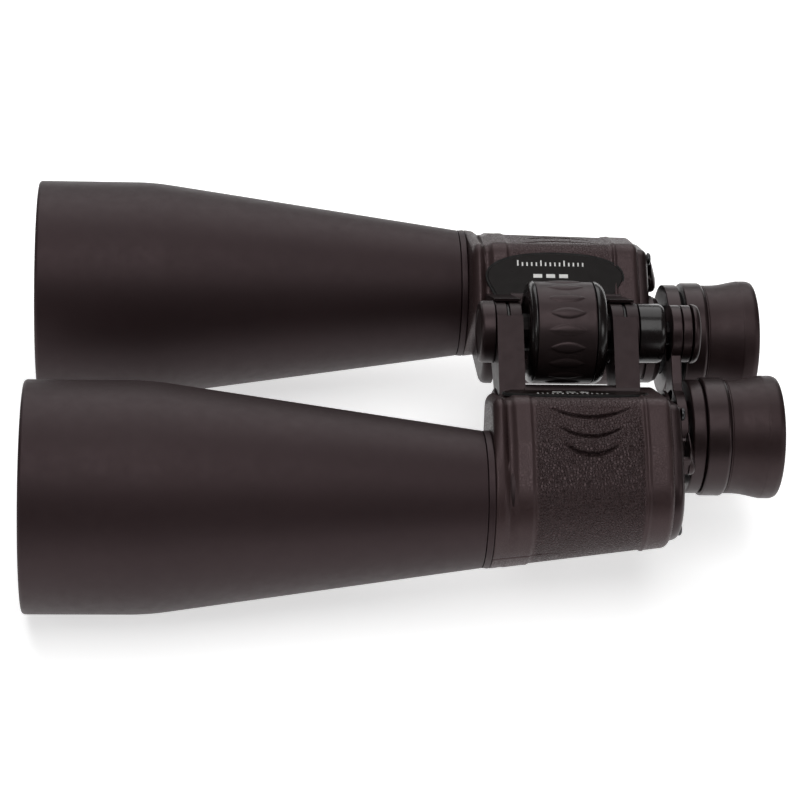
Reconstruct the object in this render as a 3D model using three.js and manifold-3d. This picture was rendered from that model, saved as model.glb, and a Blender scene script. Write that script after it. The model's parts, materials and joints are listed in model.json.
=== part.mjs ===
// Large astronomy binoculars of the 70 mm class, with Porro prisms and centre focus.
// Millimetres. +Y points out of the objectives, +Z up, the user looks from -Y, so +X is the right half.
// The origin is the centre of the footprint, at the height of the lowest point of the two barrels.
// "Station" is the distance back from the objective rims, along both optical axes.
import * as THREE from "three";
import { ConvexGeometry } from "three/addons/geometries/ConvexGeometry.js";
import { mergeVertices } from "three/addons/utils/BufferGeometryUtils.js";
import Module from "manifold-3d";

// ---- driving dimensions ----
const LENGTH = 277; // objective rims to eyecup rims
const BARREL_R = 42; // objective barrel, outside
const BARREL_LENGTH = 44.5; // cylindrical part of the barrel
const CONE_END_R = 24.9;
const CONE_END = 164.4; // station where the cone meets its collar
const COLLAR_R = 25.3;
const COLLAR_REAR = 170.6;
const SPIGOT_R = 22.7; // the end of the tube that sits in the housing
const OBJECTIVE_X = 62.25; // half the spacing of the objective axes
const EYE_X = 29.5; // half the spacing of the eyepiece axes
const OBJECTIVE_Z = BARREL_R;
const EYE_Z = OBJECTIVE_Z + 3.2;
const HINGE_Z = OBJECTIVE_Z + 28.8;
const GAP = 0.3; // clearance kept between separate pieces
const SKIN = 1.8; // thickness of the rubber armour
const WALL = 2; // thickness of the cast prism housing
const BODY_FRONT = 172;
const BODY_REAR = 232;
const KNUCKLE_R = 11.2;
const AXLE_R = 7;
const SPINDLE_R = 4.3;
const WHEEL_R = 19.2;
const WHEEL_FRONT = 183.8;
const WHEEL_REAR = 212.8;
const PRISM_R = 9.5; // half the width of a prism face
const SHELF = 201; // station of the prism shelf's front face
const SHELF_T = 2;
const EYE_TUBE_R = 13.2; // sliding eyepiece tube, outside
const ROUND = 24; // facets of a large turned piece
const SMALL_ROUND = 16; // facets of a small turned piece
const HIDDEN_ROUND = 12; // facets of an arc inside the housing
const SCREW_ROUND = 8;

const objectiveAxis = { x: OBJECTIVE_X, z: OBJECTIVE_Z };
const eyeAxis = { x: EYE_X, z: EYE_Z };
const hingeAxis = { x: 0, z: HINGE_Z };
// The beam runs between the two prisms half way between both axes, above them.
const middleAxis = { x: 47.4, z: OBJECTIVE_Z + 18 };

const y = (station) => LENGTH / 2 - station;

// ---- solids ----
const wasm = await Module();
wasm.setup();

function solid(geometry) {
  const bare = geometry.index ? geometry.toNonIndexed() : geometry.clone();
  bare.deleteAttribute("normal");
  bare.deleteAttribute("uv");
  const merged = mergeVertices(bare, 1e-4);
  const triVerts = new Uint32Array(merged.index.array);
  const vertProperties = merged.attributes.position.array;
  return new wasm.Manifold(new wasm.Mesh({ numProp: 3, vertProperties, triVerts }));
}

function geometryOf(shape) {
  const mesh = shape.getMesh();
  const geometry = new THREE.BufferGeometry();
  geometry.setAttribute("position", new THREE.BufferAttribute(mesh.vertProperties, 3));
  geometry.setIndex(new THREE.BufferAttribute(mesh.triVerts, 1));
  const faceted = geometry.toNonIndexed();
  faceted.computeVertexNormals();
  return faceted;
}

// A piece turned about an axis along Y. The profile is a list of [radius, station], closed on itself.
function turned(profile, axis, facets = ROUND) {
  const points = profile.map(([r, station]) => new THREE.Vector2(r, y(station)));
  if (THREE.ShapeUtils.area(points) < 0) points.reverse();
  const loop = points[0].x === 0 ? points : [...points, points[0].clone()];
  if (points[0].x === 0 && points.at(-1).x !== 0) throw new Error("profile leaves the axis");
  const shape = new THREE.LatheGeometry(loop, facets).translate(axis.x, 0, axis.z);
  return solid(shape);
}

// A disc or rod between two stations.
function rod(r, front, rear, axis, facets = SMALL_ROUND) {
  const length = rear - front;
  const shape = new THREE.CylinderGeometry(r, r, length, facets).translate(axis.x, y(front + length / 2), axis.z);
  return solid(shape);
}

function ring(rOut, rIn, front, rear, axis, facets = SMALL_ROUND) {
  return turned([[rIn, front], [rOut, front], [rOut, rear], [rIn, rear]], axis, facets);
}

function block([x0, x1], [front, rear], [z0, z1]) {
  const shape = new THREE.BoxGeometry(x1 - x0, rear - front, z1 - z0);
  return solid(shape.translate((x0 + x1) / 2, y((front + rear) / 2), (z0 + z1) / 2));
}

// The convex body wrapped round circles that stand across the optical axis.
function wrap(circles, facets = SMALL_ROUND) {
  const points = circles.flatMap(({ x, z, r, station }) =>
    Array.from({ length: facets }, (_, i) => {
      const a = (2 * Math.PI * i) / facets;
      return new THREE.Vector3(x + r * Math.cos(a), y(station), z + r * Math.sin(a));
    }),
  );
  return solid(new ConvexGeometry(points));
}

// The same outline of circles at both stations: a straight bar.
function bar(circles, front, rear, facets) {
  return wrap(circles.flatMap((c) => [{ ...c, station: front }, { ...c, station: rear }]), facets);
}

function mirrored(shape) {
  const geometry = geometryOf(shape);
  const position = geometry.attributes.position;
  for (let i = 0; i < position.count; i += 3) {
    const corners = [i, i + 2, i + 1].map((k) => new THREE.Vector3().fromBufferAttribute(position, k));
    corners.forEach((v, k) => position.setXYZ(i + k, -v.x, v.y, v.z));
  }
  return solid(geometry);
}

const join = (first, ...others) => others.reduce((whole, other) => whole.add(other), first);
const cut = (first, ...others) => others.reduce((whole, other) => whole.subtract(other), first);

// ---- materials ----
const finish = (color, roughness, metalness = 0, extra = {}) =>
  new THREE.MeshStandardMaterial({ color, roughness, metalness, ...extra });
const softBlack = finish(0x1d191a, 0.55);
const grainBlack = finish(0x1a1718, 0.7);
const satinBlack = finish(0x171516, 0.4);
const glossBlack = finish(0x0b0a0b, 0.15);
const anodised = finish(0x151516, 0.45, 0.6);
const brass = finish(0xb08d4a, 0.35, 1);
const steel = finish(0x9a9a9c, 0.3, 1);
const clearGlass = finish(0x9fb6c4, 0.05, 0, { transparent: true, opacity: 0.4 });
const coatedGlass = finish(0x7a3b6a, 0.05, 0, { transparent: true, opacity: 0.5 });
const castAlloy = finish(0x3a3a3c, 0.5, 0.7);
const nylon = finish(0xd8d4c8, 0.5);

const model = new THREE.Group();

function add(name, shape, material) {
  const mesh = new THREE.Mesh(geometryOf(shape), material);
  mesh.name = name;
  model.add(mesh);
}

function addPair(name, shape, material) {
  add(`right_${name}`, shape, material);
  add(`left_${name}`, mirrored(shape), material);
}

// ---- objective end ----
function objectiveTube() {
  const seat = 27.6; // station of the ledge that the lens rests on
  const wall = 1.6;
  return turned(
    [
      [39.2, 0], [41, 0], [BARREL_R, 1.1], [BARREL_R, BARREL_LENGTH], [CONE_END_R, CONE_END],
      [SPIGOT_R, CONE_END], [SPIGOT_R, BODY_FRONT + 3], [20.8, BODY_FRONT + 3], [20.8, CONE_END - 4],
      [BARREL_R - wall, BARREL_LENGTH], [BARREL_R - wall, seat + 6], [35.4, seat + 2], [35.4, seat], [38.2, seat],
      [38.2, 14.5], [39.2, 12],
    ],
    objectiveAxis,
  );
}

// A lens: the front and rear faces bulge by the given amounts from their edges.
function lens(r, frontEdge, rearEdge, frontBulge, rearBulge, axis, facets = SMALL_ROUND) {
  const steps = 3;
  const profile = [];
  for (let i = 0; i <= steps; i++) {
    const t = i / steps;
    profile.push([r * t, frontEdge - frontBulge * (1 - t * t)]);
  }
  for (let i = steps; i >= 0; i--) {
    const t = i / steps;
    profile.push([r * t, rearEdge + rearBulge * (1 - t * t)]);
  }
  return turned(profile, axis, facets);
}

addPair("objective_tube", objectiveTube(), softBlack);
addPair(
  "objective_ring",
  turned([[35.2, 17], [36.2, 16], [37.8, 16], [37.8, 19.4], [35.2, 19.4]], objectiveAxis),
  satinBlack,
);
addPair("objective_crown_lens", lens(37.6, 20.4, 21.6, 3.6, 2.6, objectiveAxis), coatedGlass);
addPair("objective_flint_lens", lens(37.6, 21.9, 27.2, -2.6, 0.3, objectiveAxis), clearGlass);
addPair(
  "tube_collar",
  turned([[23, 164.7], [24.6, 164.7], [COLLAR_R, 165.4], [COLLAR_R, COLLAR_REAR], [23, COLLAR_REAR]], objectiveAxis),
  softBlack,
);

// ---- prism housing ----
const lugRoot = { x: 30, z: OBJECTIVE_Z + 16.5, r: 6.5 };
const crest = { x: 47.5, z: OBJECTIVE_Z + 27.5, r: 7 };

// The housing is wrapped round five lobes: barrel side, thumb rest, crest, foot of the plate slope, eyepiece side.
function lobes(inset, station, shrink = 0) {
  const back = (station - BODY_FRONT) / (BODY_REAR - BODY_FRONT); // 0 at the front, 1 at the rear
  const eyeGrow = Math.min(1, Math.max(0, (station - BODY_FRONT) / 18));
  const less = inset + shrink;
  return [
    { x: OBJECTIVE_X, z: OBJECTIVE_Z - 0.3 + 3.9 * back, r: 24.4 - 4.7 * back - less, station },
    { x: 56, z: OBJECTIVE_Z + 14, r: 16.3 - 1.2 * back - less, station },
    { ...crest, r: crest.r - less, station },
    { ...lugRoot, r: lugRoot.r - less, station },
    { x: EYE_X, z: EYE_Z, r: 10 + 8.2 * eyeGrow - less, station },
  ];
}

function housingBody(inset, front = BODY_FRONT, rear = BODY_REAR, edge = 0) {
  const full = [front + 2 * edge, BODY_FRONT + 18, rear - 2 * edge];
  const circles = full.flatMap((station) => lobes(inset, station));
  return wrap([...lobes(inset, front, edge), ...circles, ...lobes(inset, rear, edge)]);
}

// The front flange of the housing follows the barrel lobe and the eyepiece lobe.
function frontFlange(inset) {
  const outline = (shrink, station) => [
    { ...objectiveAxis, r: 24.3 - inset - shrink, station },
    { ...eyeAxis, r: 17.8 - inset - shrink, station },
  ];
  return wrap([...outline(2, 171), ...outline(0, 173), ...outline(0, 175.6)]);
}

// The block in front of the crest stands round the collar of the tube.
function frontBlock() {
  const [front, rear] = [167.4, BODY_FRONT];
  const outline = (shrink, station) => [
    { ...objectiveAxis, r: 24.3 - shrink, station },
    { ...crest, r: crest.r - 1 - shrink, station },
    { ...lugRoot, r: lugRoot.r - 1 - shrink, station },
  ];
  const block = wrap([...outline(1.4, front), ...outline(0, front + 1.4), ...outline(0, rear)]);
  return cut(block, rod(COLLAR_R + GAP, 160, COLLAR_REAR + GAP, objectiveAxis, ROUND));
}

// One hinge arm of a half: its own knuckle turns on the axle, the rest clears the other half's knuckle.
function hingeArm([front, rear], ownRange) {
  const hub = { ...hingeAxis, r: KNUCKLE_R };
  const clearBefore = rod(KNUCKLE_R + 0.5, front - 1, ownRange[0], hingeAxis);
  const clearAfter = rod(KNUCKLE_R + 0.5, ownRange[1], rear + 1, hingeAxis);
  const notchZ = [HINGE_Z - 30, HINGE_Z + 30];
  const sideBefore = block([-20, 5], [front - 1, ownRange[0]], notchZ);
  const sideAfter = block([-20, 5], [ownRange[1], rear + 1], notchZ);
  return cut(bar([lugRoot, hub], front, rear), clearBefore, clearAfter, sideBefore, sideAfter);
}

const FRONT_ARM = [172, 181.7];
const REAR_ARM = [215.2, 225.4];
const FRONT_SPLIT = [176.4, 177]; // the washer between the two front knuckles
const REAR_SPLIT = [220, 220.6];
const knuckles = {
  left: [[FRONT_ARM[0], FRONT_SPLIT[0] - GAP], [REAR_SPLIT[1] + GAP, REAR_ARM[1]]],
  right: [[FRONT_SPLIT[1] + GAP, FRONT_ARM[1]], [REAR_ARM[0], REAR_SPLIT[0] - GAP]],
};

function screwPosts() {
  return [{ x: 71.9, z: OBJECTIVE_Z - 7.4 }, { x: 47.6, z: OBJECTIVE_Z + 28.6 }, { x: 46, z: OBJECTIVE_Z - 9.4 }];
}

function prismHousing([frontKnuckle, rearKnuckle]) {
  const inset = SKIN + GAP;
  const frontWall = BODY_FRONT + 3.3;
  const outside = join(
    housingBody(inset, BODY_FRONT - 0.6, BODY_REAR),
    frontFlange(0),
    frontBlock(),
    hingeArm(FRONT_ARM, frontKnuckle),
    hingeArm(REAR_ARM, rearKnuckle),
  );
  const inside = wrap([
    ...lobes(inset + WALL, frontWall),
    ...lobes(inset + WALL, BODY_FRONT + 18),
    ...lobes(inset + WALL, BODY_REAR + 1),
  ], HIDDEN_ROUND);
  const posts = screwPosts().map((p) => rod(2.7, 225, BODY_REAR, p, HIDDEN_ROUND).intersect(housingBody(inset)));
  const pilotHoles = screwPosts().map((p) => rod(1.6, 224, BODY_REAR + 1, p, SCREW_ROUND));
  return cut(
    join(cut(outside, inside), ...posts),
    rod(SPIGOT_R + GAP, 160, frontWall + 1, objectiveAxis, ROUND),
    rod(AXLE_R + GAP, 160, 240, hingeAxis),
    rod(WHEEL_R + 0.7, WHEEL_FRONT - 0.6, WHEEL_REAR + 0.6, hingeAxis, ROUND),
    ...pilotHoles,
  );
}

// The sloping inner face between the eyepiece lobe and the crest carries the name plate.
const plateSlope = new THREE.Vector3(17.7, 0, 11.7).normalize();
const plateNormal = new THREE.Vector3(-plateSlope.z, 0, plateSlope.x);
const plateFoot = new THREE.Vector3(27.2, 0, OBJECTIVE_Z + 22.4);

function namePlate(depth, margin) {
  const [front, rear] = [BODY_FRONT + 0.6 - margin, 224.6 + margin];
  const [foot, shoulder, top] = [1.5 - margin, 9.5 - margin, 19.5 + margin];
  const crown = 198.6; // station of the highest point of the arched edge
  const shape = new THREE.Shape();
  shape.moveTo(front, shoulder);
  shape.lineTo(FRONT_ARM[1] + 0.8 - margin, shoulder);
  shape.lineTo(FRONT_ARM[1] + 0.8 - margin, foot);
  shape.lineTo(REAR_ARM[0] - 0.8 + margin, foot);
  shape.lineTo(REAR_ARM[0] - 0.8 + margin, shoulder);
  shape.lineTo(rear, shoulder);
  shape.lineTo(rear, shoulder + 1);
  shape.bezierCurveTo(rear, top - 4, rear - 8, top, crown, top);
  shape.bezierCurveTo(front + 9, top, front, top - 4, front, shoulder + 1);
  const slab = new THREE.ExtrudeGeometry(shape, { depth, bevelEnabled: false, curveSegments: 5 });
  slab.translate(0, 0, -depth + 0.5);
  const basis = new THREE.Matrix4().makeBasis(new THREE.Vector3(0, -1, 0), plateSlope, plateNormal);
  basis.setPosition(plateFoot.x, y(0), plateFoot.z);
  return solid(slab.applyMatrix4(basis));
}

function armour() {
  const opening = wrap([
    ...lobes(SKIN, BODY_FRONT - 2),
    ...lobes(SKIN, BODY_FRONT),
    ...lobes(SKIN, BODY_FRONT + 18),
    ...lobes(SKIN, BODY_REAR + 2),
  ]);
  const solidBody = housingBody(0, BODY_FRONT + 0.3, BODY_REAR - 0.2, 1.4);
  const armCuts = [FRONT_ARM, REAR_ARM].map((range) =>
    bar([{ ...lugRoot, r: lugRoot.r + 0.4 }, { ...hingeAxis, r: KNUCKLE_R + 0.4 }], range[0] - 1, range[1] + 0.4),
  );
  return cut(
    solidBody,
    opening,
    frontFlange(-GAP),
    ...armCuts,
    rod(WHEEL_R + 0.7, WHEEL_FRONT - 0.6, WHEEL_REAR + 0.6, hingeAxis, ROUND),
    namePlate(1.3, GAP),
  );
}

add("right_prism_housing", prismHousing(knuckles.right), castAlloy);
add("left_prism_housing", mirrored(prismHousing(knuckles.left)), castAlloy);
addPair("housing_armour", armour(), grainBlack);
addPair("name_plate", namePlate(1, 0), glossBlack);

// ---- prisms ----
// A right-angle prism with rounded ends: its wide face lies on the shelf, over the two given axes.
function prism(axisA, axisB, face, apexForward) {
  const along = new THREE.Vector3(axisB.x - axisA.x, 0, axisB.z - axisA.z);
  const half = along.length() / 2 + PRISM_R;
  along.normalize();
  const depth = apexForward ? -half : half;
  const blank = bar(
    [{ ...axisA, r: PRISM_R }, { ...axisB, r: PRISM_R }],
    Math.min(face, face + depth),
    Math.max(face, face + depth),
    HIDDEN_ROUND,
  );
  const side = half + 1;
  const triangle = new THREE.Shape([
    new THREE.Vector2(-side, -1), new THREE.Vector2(side, -1), new THREE.Vector2(0, side - 1),
  ]);
  const wedge = new THREE.ExtrudeGeometry(triangle, { depth: 4 * PRISM_R, bevelEnabled: false });
  wedge.translate(0, 0, -2 * PRISM_R);
  const toApex = new THREE.Vector3(0, apexForward ? 1 : -1, 0);
  const basis = new THREE.Matrix4().makeBasis(along, toApex, along.clone().cross(toApex));
  basis.setPosition((axisA.x + axisB.x) / 2, y(face), (axisA.z + axisB.z) / 2);
  return blank.intersect(solid(wedge.applyMatrix4(basis)));
}

// A sprung strap over the apex of a prism, with a leg down each side to the shelf.
function prismClip(axisA, axisB, face, apexForward) {
  const along = new THREE.Vector3(axisB.x - axisA.x, 0, axisB.z - axisA.z);
  const reach = along.length() / 2 + PRISM_R;
  along.normalize();
  const [strip, outer, inner] = [5, PRISM_R + 1.3, PRISM_R + 0.5];
  const shape = new THREE.Shape([
    [-outer, GAP], [-inner, GAP], [-inner, reach + GAP], [inner, reach + GAP],
    [inner, GAP], [outer, GAP], [outer, reach + 1.1], [-outer, reach + 1.1],
  ].map(([a, b]) => new THREE.Vector2(a, b)));
  const strap = new THREE.ExtrudeGeometry(shape, { depth: strip, bevelEnabled: false }).translate(0, 0, -strip / 2);
  const toApex = new THREE.Vector3(0, apexForward ? 1 : -1, 0);
  const basis = new THREE.Matrix4().makeBasis(toApex.clone().cross(along), toApex, along);
  basis.setPosition((axisA.x + axisB.x) / 2, y(face), (axisA.z + axisB.z) / 2);
  return solid(strap.applyMatrix4(basis));
}

function prismShelf() {
  const inset = SKIN + GAP + WALL + GAP;
  const plate = wrap([...lobes(inset, SHELF), ...lobes(inset, SHELF + SHELF_T)], HIDDEN_ROUND);
  return cut(
    plate,
    rod(12.5, SHELF - 1, SHELF + SHELF_T + 1, objectiveAxis),
    rod(8.2, SHELF - 1, SHELF + SHELF_T + 1, middleAxis),
    rod(10, SHELF - 1, SHELF + SHELF_T + 1, eyeAxis),
  );
}

const SHELF_REAR = SHELF + SHELF_T;
addPair("prism_shelf", prismShelf(), castAlloy);
addPair("front_prism", prism(middleAxis, eyeAxis, SHELF - GAP, true), clearGlass);
addPair("rear_prism", prism(objectiveAxis, middleAxis, SHELF_REAR + GAP, false), clearGlass);
addPair("front_prism_clip", prismClip(middleAxis, eyeAxis, SHELF - GAP, true), steel);
addPair("rear_prism_clip", prismClip(objectiveAxis, middleAxis, SHELF_REAR + GAP, false), steel);

// ---- rear cover, with the eyepiece guide and the strap lug ----
const COVER = [BODY_REAR + GAP, 236];

function strapLug() {
  const z0 = OBJECTIVE_Z + 10;
  const lug = wrap([
    { x: 51, z: z0 + 4, r: 4, station: 235.5 }, { x: 60, z: z0 + 4, r: 4, station: 235.5 },
    { x: 51, z: z0 + 12, r: 4, station: 235.5 }, { x: 58, z: z0 + 12, r: 4, station: 235.5 },
    { x: 51.5, z: z0 + 3, r: 2.6, station: 241.6 }, { x: 58, z: z0 + 3, r: 2.6, station: 241.6 },
  ], 16);
  return cut(lug, block([50, 59], [236.1, 239], [z0 - 10, z0 + 30]));
}

function rearCover(guide) {
  const edge = 1.4;
  const plate = wrap([
    ...lobes(0.6, COVER[0]), ...lobes(0.6, COVER[1] - edge), ...lobes(0.6, COVER[1], edge),
  ]);
  const guideTube = turned(guide, eyeAxis);
  return cut(
    join(plate, guideTube, strapLug()),
    rod(EYE_TUBE_R + GAP, 225, 250, eyeAxis, ROUND),
    ...screwPosts().map((p) => rod(1.6, 230, 240, p, SCREW_ROUND)),
  );
}

const rightGuide = [[13, 234.5], [17, 234.5], [17, 237.6], [16, 239.6], [14.4, 240.4], [13, 240.4]];
const leftGuide = [[13, 234.5], [17, 234.5], [17, 235.8], [16.4, 236.3], [13, 236.3]];
add("right_rear_cover", rearCover(rightGuide), satinBlack);
add("left_rear_cover", mirrored(rearCover(leftGuide)), satinBlack);

function coverScrew(post) {
  return turned(
    [[0, 226], [1.2, 226], [1.2, 236.3], [2.4, 236.3], [2.4, 237], [1.6, 237.5], [0, 237.5]],
    post,
    SCREW_ROUND,
  );
}
screwPosts().forEach((post, i) => addPair(`cover_screw_${i + 1}`, coverScrew(post), steel));

// ---- eyepieces ----
const EYECUP_FRONT = 257.3;
const LENS_SEAT = 258.4;
const DIOPTRE_TRAVEL = 1.5;

// The right tube is shorter, which leaves room for the dioptre adjustment.
add("right_eyepiece_tube", ring(EYE_TUBE_R, 11.7, 226, LENS_SEAT - DIOPTRE_TRAVEL - GAP, eyeAxis, ROUND), anodised);
add("left_eyepiece_tube", mirrored(ring(EYE_TUBE_R, 11.7, 226, LENS_SEAT - GAP, eyeAxis, ROUND)), anodised);
addPair("field_lens", lens(11.4, 243, 246, 1.2, 0.8, eyeAxis), coatedGlass);
addPair("eye_lens", lens(11.3, 261.5, 265.5, 1, 1.6, eyeAxis), coatedGlass);

// The ocular holds the eye lens. Its shell takes the ring in front and the eyecup behind.
function ocular(front) {
  const bore = EYE_TUBE_R + GAP;
  return turned(
    [
      [bore, front], [18.6, front], [18.6, 267.6], [17.4, 268.4], [11.7, 268.4], [11.7, 261.2],
      [10.6, 261.2], [10.6, LENS_SEAT], [bore, LENS_SEAT],
    ],
    eyeAxis,
  );
}

function eyecup() {
  return turned(
    [
      [18.9, EYECUP_FRONT], [21.2, EYECUP_FRONT], [21.3, 263.6], [22.8, 270.4], [23, 272.5], [23, 275.8], [22.2, 277],
      [19.2, 277], [17.6, 274.6], [17, 268.8], [18.9, 268.8],
    ],
    eyeAxis,
  );
}
add("right_ocular", ocular(249.8), satinBlack);
add("left_ocular", mirrored(ocular(248.3)), satinBlack);
addPair("eyecup", eyecup(), softBlack);

add("diopter_ring", turned(
  [[18.9, 249.8], [21.6, 249.8], [22.1, 250.3], [22.1, 256.6], [21.8, 257], [18.9, 257]], eyeAxis,
), satinBlack);
add("left_eyepiece_ring", mirrored(turned(
  [[18.9, 248.3], [21.6, 248.3], [22.1, 248.8], [22.1, 256.6], [21.8, 257], [18.9, 257]], eyeAxis,
)), satinBlack);
add("left_eyepiece_collar", mirrored(turned(
  [[EYE_TUBE_R + GAP, 242.8], [20.8, 242.8], [21.2, 243.2], [21.2, 247.6], [20.8, 248], [EYE_TUBE_R + GAP, 248]],
  eyeAxis,
)), satinBlack);

// ---- focusing bridge ----
// Each arm clamps one eyepiece tube and turns on the spindle. The left arm lies in front of the right one.
function bridgeArm(hubRange, eyeRange, eyeR) {
  const hubR = 10.7;
  const [front, rear] = hubRange;
  const waist = { x: EYE_X * 0.55, z: EYE_Z + (HINGE_Z - EYE_Z) * 0.45 };
  const upper = bar([{ ...hingeAxis, r: 8 }, { ...waist, r: 6.5 }], front, rear);
  const lower = bar([{ ...waist, r: 6.5 }, { ...eyeAxis, r: 10 }], front, rear);
  return cut(
    join(rod(hubR, front, rear, hingeAxis), upper, lower, rod(eyeR, ...eyeRange, eyeAxis, ROUND)),
    rod(EYE_TUBE_R + GAP, front - 5, rear + 8, eyeAxis, ROUND),
    rod(SPINDLE_R + GAP, front - 5, rear + 8, hingeAxis),
  );
}
const LEFT_ARM = [238, 241.8];
const RIGHT_ARM = [242.1, 245.6];
add("left_bridge_arm", mirrored(bridgeArm(LEFT_ARM, LEFT_ARM, 17.6)), satinBlack);
add("right_bridge_arm", bridgeArm(RIGHT_ARM, [RIGHT_ARM[0], 247.4], 21.2), satinBlack);
add("focus_spindle", rod(SPINDLE_R, 196, 245.9, hingeAxis), steel);
add("bridge_end_cap", turned(
  [[0, 249.2], [8, 249.2], [10.4, 248.4], [11.1, 247.2], [11.1, 246.2], [0, 246.2]], hingeAxis, SMALL_ROUND,
), satinBlack);

// ---- centre hinge ----
function hingeAxle() {
  return turned(
    [
      [5, FRONT_ARM[0] + 0.3], [AXLE_R, FRONT_ARM[0] + 0.3], [AXLE_R, 227.5], [SPINDLE_R + GAP, 227.5],
      [SPINDLE_R + GAP, 190], [3, 190], [3, 184], [5, 184],
    ],
    hingeAxis,
    SMALL_ROUND,
  );
}
add("hinge_axle", hingeAxle(), steel);
add("tripod_bush", ring(4.7, 2.6, 173, 183.7, hingeAxis, 20), brass);
add("hinge_washer_front", ring(10.6, AXLE_R + GAP, ...FRONT_SPLIT, hingeAxis), nylon);
add("hinge_washer_rear", ring(10.6, AXLE_R + GAP, ...REAR_SPLIT, hingeAxis), nylon);
add("tripod_cap", join(
  turned([[0, 166.2], [9.8, 166.2], [11.1, 166.7], [11.6, 167.8], [11.6, 171.7], [0, 171.7]], hingeAxis),
  rod(2.3, 171, 180, hingeAxis, 16),
), glossBlack);
add("spindle_sleeve", turned(
  [
    [SPINDLE_R + GAP, 227.8], [AXLE_R + GAP, 227.8], [AXLE_R + GAP, 225.8], [11.1, 225.8], [11.1, 234.2],
    [10.5, 235.4], [9, 236], [SPINDLE_R + GAP, 236],
  ],
  hingeAxis,
), glossBlack);

// ---- focus wheel ----
const GRIP = [WHEEL_FRONT + 2.8, WHEEL_REAR - 4.2];
const GRIP_R = WHEEL_R - 0.3;
const PADS = 18;

function wheelCore() {
  const grooveR = 16.2;
  return turned(
    [
      [AXLE_R + GAP, WHEEL_FRONT], [17, WHEEL_FRONT], [18.6, WHEEL_FRONT + 0.5], [WHEEL_R, WHEEL_FRONT + 1.7],
      [WHEEL_R, GRIP[0] - GAP], [grooveR, GRIP[0] - GAP], [grooveR, GRIP[1] + GAP], [WHEEL_R, GRIP[1] + GAP],
      [WHEEL_R, WHEEL_REAR - 1.7], [18.6, WHEEL_REAR - 0.5], [17, WHEEL_REAR], [AXLE_R + GAP, WHEEL_REAR],
    ],
    hingeAxis,
  );
}

function wheelGrip() {
  const band = ring(GRIP_R, 16.5, ...GRIP, hingeAxis, ROUND);
  const middle = y((GRIP[0] + GRIP[1]) / 2);
  // Each pad is lens shaped, longer along the axis, and stands half a millimetre proud.
  const pads = Array.from({ length: PADS }, (_, i) => {
    const a = (2 * Math.PI * i) / PADS;
    const pad = new THREE.SphereGeometry(1, 8, 6).scale(0.7, 7.4, 2.1).rotateY(-a);
    pad.translate((GRIP_R - 0.2) * Math.cos(a), middle, HINGE_Z + (GRIP_R - 0.2) * Math.sin(a));
    return solid(pad);
  });
  return join(band, ...pads);
}
add("focus_wheel_core", wheelCore(), glossBlack);
add("focus_wheel_grip", wheelGrip(), grainBlack);

export default model;
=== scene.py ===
import json
import math

import bmesh
import bpy
from mathutils import Matrix, Vector


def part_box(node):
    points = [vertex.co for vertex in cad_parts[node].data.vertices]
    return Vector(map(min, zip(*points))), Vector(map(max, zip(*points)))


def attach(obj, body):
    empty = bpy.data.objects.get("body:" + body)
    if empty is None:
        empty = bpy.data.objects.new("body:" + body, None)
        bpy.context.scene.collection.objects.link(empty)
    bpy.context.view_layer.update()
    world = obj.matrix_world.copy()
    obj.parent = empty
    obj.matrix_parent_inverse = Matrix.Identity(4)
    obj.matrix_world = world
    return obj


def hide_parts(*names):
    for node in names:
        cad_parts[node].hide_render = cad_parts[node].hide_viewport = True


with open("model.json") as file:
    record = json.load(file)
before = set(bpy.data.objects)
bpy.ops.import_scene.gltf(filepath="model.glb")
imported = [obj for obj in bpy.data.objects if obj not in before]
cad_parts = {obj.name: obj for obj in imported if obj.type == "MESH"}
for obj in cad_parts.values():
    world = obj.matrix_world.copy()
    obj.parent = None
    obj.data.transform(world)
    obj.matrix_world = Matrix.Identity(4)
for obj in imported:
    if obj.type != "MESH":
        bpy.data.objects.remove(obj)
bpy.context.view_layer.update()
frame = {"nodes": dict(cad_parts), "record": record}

# Shapes are drawn in millimetres and scaled to metres when a piece is finished.
# A station is the distance back from the objective rims.
# The right half is drawn, and the left is its mirror image.
MM = 0.001
SMALLEST = 1e-4  # points closer than this are one point


def middle(node):
    """The x and z of a node's middle."""
    low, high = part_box(node)
    return (low.x + high.x) / 2 / MM, (low.z + high.z) / 2 / MM


OBJECTIVE = middle("right_objective_tube")
EYE = middle("right_eyecup")
HINGE = middle("focus_wheel_core")
RIM_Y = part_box("right_objective_tube")[1].y / MM


# ---- camera ----
def place_camera():
    camera = bpy.data.objects.new("camera", bpy.data.cameras.new("camera"))
    bpy.context.scene.collection.objects.link(camera)
    right = Vector((-0.0584, -0.9965, 0.0593))
    up = Vector((0.6318, 0.0091, 0.7751))
    back = Vector((-0.7729, 0.0828, 0.6291))
    turn = Matrix((right, up, back)).transposed().to_quaternion().normalized()
    camera.rotation_mode = "QUATERNION"
    camera.rotation_quaternion = turn
    camera.location = (-0.78558, 0.08374, 0.67675)
    camera.data.sensor_width = 36
    camera.data.lens = 120.14
    camera.data.clip_start, camera.data.clip_end = 0.05, 20
    bpy.context.scene.camera = camera


place_camera()


# ---- materials ----
def plain(name, colour, roughness, **sockets):
    """A finish with the shader's own sockets set, before its texture is added."""
    material = bpy.data.materials.new(name)
    material.use_nodes = True
    shader = material.node_tree.nodes["Principled BSDF"]
    shader.inputs["Base Color"].default_value = (*colour, 1)
    shader.inputs["Roughness"].default_value = roughness
    for socket, value in sockets.items():
        shader.inputs[socket.replace("_", " ")].default_value = value
    return material


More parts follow.
